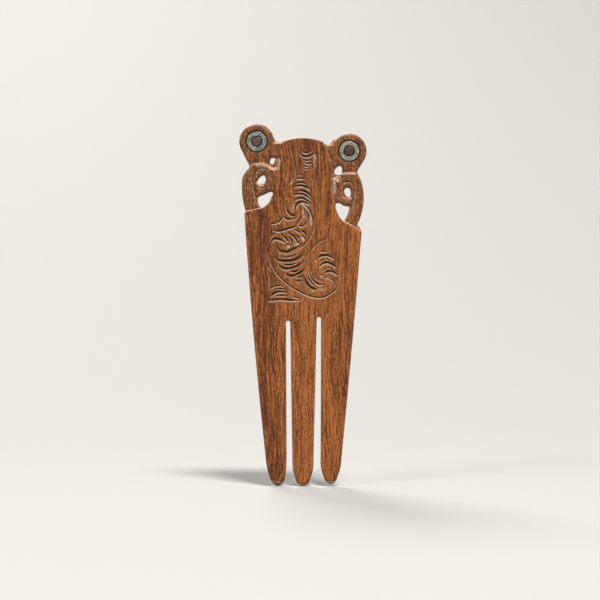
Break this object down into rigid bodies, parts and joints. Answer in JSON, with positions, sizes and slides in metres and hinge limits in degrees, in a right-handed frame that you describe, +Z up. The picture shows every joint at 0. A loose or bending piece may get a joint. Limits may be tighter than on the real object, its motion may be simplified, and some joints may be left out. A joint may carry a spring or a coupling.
{
  "type": "decorative hair comb",
  "caption": "Tall carved wooden hair comb: long tapered tines under a wide blade with leaf-scroll carving, openwork scrolls and shell-inlaid eye lobes at the head.",
  "frame": {"origin": "level of the tine tips, midway between the two eye lobes and midway through the plate's thickness", "axes": "+Z up along the comb from the tine tips to the crown, +X to the right seen from the carved face, -Y out of the carved face, +Y out of the flat back"},
  "size_m": [0.0562, 0.005, 0.1599],
  "materials": {
    "carved_wood": "brown close-grained hardwood, oiled satin, dark vertical pores",
    "black_resin": "black pitch-like resin, glossy, slightly sunk in its seams",
    "shell": "blue-green to silver iridescent shell, polished, finely layered",
    "pupil_wood": "dark red-brown end grain, polished"
  },
  "bodies": {
    "root": {"comb_body": "carved_wood", "left_eye_bedding": "black_resin", "left_eye_ring": "shell", "left_eye_pupil": "pupil_wood", "right_eye_bedding": "black_resin", "right_eye_ring": "shell", "right_eye_pupil": "pupil_wood"}
  },
  "joints": []
}
